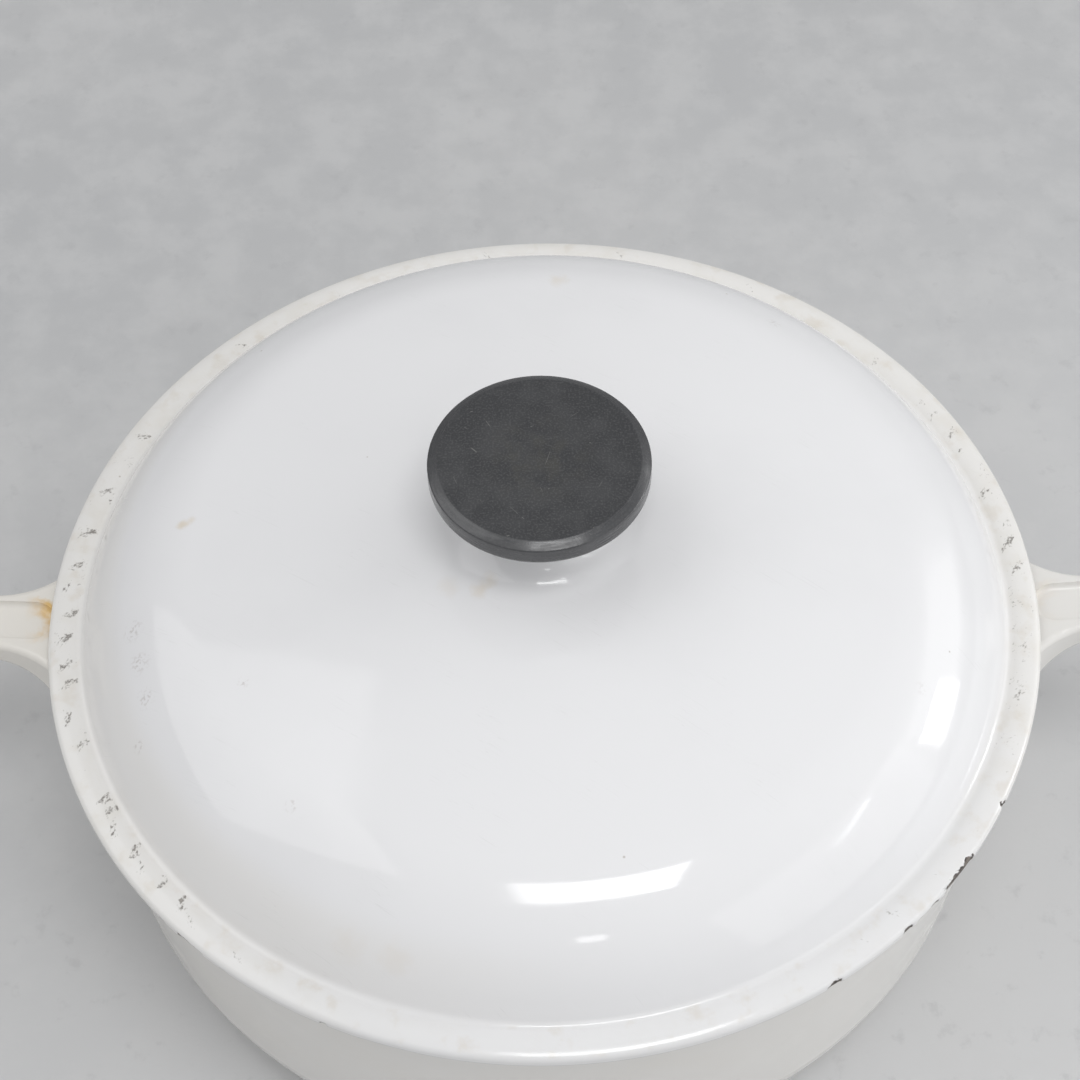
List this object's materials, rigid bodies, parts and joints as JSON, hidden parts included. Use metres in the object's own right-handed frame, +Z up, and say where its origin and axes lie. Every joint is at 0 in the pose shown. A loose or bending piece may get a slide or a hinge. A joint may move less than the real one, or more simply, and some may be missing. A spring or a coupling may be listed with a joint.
{
  "type": "enamelled cast iron dutch oven",
  "caption": "Round white-enamelled cast iron dutch oven with tapered wall, dished side handles and a domed lift-off lid with a black disc knob on a flared pedestal.",
  "frame": {"origin": "centre of the flat base, on the surface the pot stands on", "axes": "+Z up along the pot's axis, +X along the two side handles, +Y at right angles to them"},
  "size_m": [0.3274, 0.248, 0.1525],
  "materials": {
    "pot_enamel": "gloss white vitreous enamel on grey cast iron",
    "lid_enamel": "gloss white vitreous enamel on grey cast iron, worn to the iron in small chips along the flange's edge",
    "phenolic": "matte black compression-moulded phenolic, lightly scratched",
    "brass": "turned",
    "steel": "zinc plated, dulled"
  },
  "bodies": {
    "pot": {"pot": "pot_enamel"},
    "knob": {"knob_disc": "phenolic", "knob_insert": "brass", "knob_screw": "steel", "flat_washer": "steel", "lock_washer": "steel"},
    "lid": {"lid": "lid_enamel"}
  },
  "joints": [
    {"name": "lid_lift", "type": "slide", "parent": "pot", "child": "knob", "axis": [0, 0, 1], "range_m": [0, 0.12]},
    {"name": "lid_turn", "type": "hinge", "parent": "knob", "child": "lid", "pos_m": [0, 0, 0.145], "axis": [0, 0, 1], "continuous": true}
  ]
}
